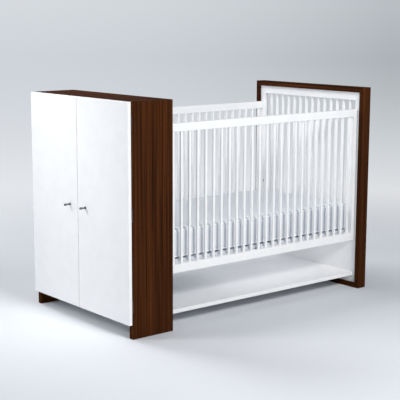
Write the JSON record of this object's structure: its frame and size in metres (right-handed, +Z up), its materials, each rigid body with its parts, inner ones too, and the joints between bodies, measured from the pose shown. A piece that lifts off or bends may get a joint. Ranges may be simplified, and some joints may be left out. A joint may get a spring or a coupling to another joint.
{
  "type": "baby crib with cabinet",
  "caption": "Slatted baby crib in white with a walnut end frame, a walnut-sided cabinet with hinged doors at one end, an open lower shelf and a mattress.",
  "frame": {"origin": "on the floor, under the middle of the whole piece, door knobs included", "axes": "+X along the crib from the cabinet's doors to the end frame, +Y from the front side to the rear side, +Z up"},
  "size_m": [1.686, 0.8684, 1.134],
  "materials": {
    "walnut": "stained and satin lacquered, straight grain",
    "white_lacquer": "satin white lacquer on wood",
    "dark_chrome": "polished dark nickel",
    "steel": "zinc-plated steel",
    "beech": "plain",
    "grey_board": "plywood painted matt grey",
    "mattress_fabric": "woven cotton with white piping",
    "catch_plastic": "matt"
  },
  "bodies": {
    "crib_frame": {"mitre_dowels": "beech", "end_top_board": "walnut", "end_bottom_board": "walnut", "end_front_post": "walnut", "end_rear_post": "walnut", "rail_bolts": "steel", "barrel_nuts": "steel", "height_inserts": "steel", "support_brackets": "steel", "bracket_bolts": "steel", "front_top_rail": "white_lacquer", "front_low_rail": "white_lacquer", "front_left_stile": "white_lacquer", "front_right_stile": "white_lacquer", "front_slats": "white_lacquer", "rear_top_rail": "white_lacquer", "rear_low_rail": "white_lacquer", "rear_left_stile": "white_lacquer", "rear_right_stile": "white_lacquer", "rear_slats": "white_lacquer", "end_panel_front_stile": "white_lacquer", "end_panel_rear_stile": "white_lacquer", "end_panel_top_rail": "white_lacquer", "end_panel_low_board": "white_lacquer", "end_slats": "white_lacquer", "storage_shelf": "white_lacquer", "shelf_screws": "steel", "case_front_side": "walnut", "case_rear_side": "walnut", "shelf_pins": "steel", "case_top_board": "walnut", "case_bottom_board": "white_lacquer", "crib_head_panel": "white_lacquer", "cabinet_shelves": "white_lacquer", "front_case_leaves": "dark_chrome", "rear_case_leaves": "dark_chrome", "hinge_pins": "dark_chrome", "case_hinge_screws": "dark_chrome", "door_catches": "catch_plastic", "shelf_dowels": "beech"},
    "front_door": {"front_door": "white_lacquer", "front_knob": "dark_chrome", "front_knob_screw": "steel", "front_door_leaves": "dark_chrome", "front_door_screws": "dark_chrome", "front_catch_plate": "steel"},
    "rear_door": {"rear_door": "white_lacquer", "rear_knob": "dark_chrome", "rear_knob_screw": "steel", "rear_door_leaves": "dark_chrome", "rear_door_screws": "dark_chrome", "rear_catch_plate": "steel"},
    "mattress_support": {"mattress_support": "grey_board"},
    "mattress": {"mattress": "mattress_fabric"}
  },
  "joints": [
    {"name": "front_door_hinge", "type": "hinge", "parent": "crib_frame", "child": "front_door", "pos_m": [-0.79, -0.432, 0.6], "axis": [0, 0, 1], "range_deg": [0, 110]},
    {"name": "rear_door_hinge", "type": "hinge", "parent": "crib_frame", "child": "rear_door", "pos_m": [-0.79, 0.432, 0.6], "axis": [0, 0, -1], "range_deg": [0, 110]},
    {"name": "mattress_height", "type": "slide", "parent": "crib_frame", "child": "mattress_support", "axis": [0, 0, 1], "range_m": [0, 0.225]},
    {"name": "mattress_lift_out", "type": "slide", "parent": "mattress_support", "child": "mattress", "axis": [0, 0, 1], "range_m": [0, 0.65]}
  ]
}
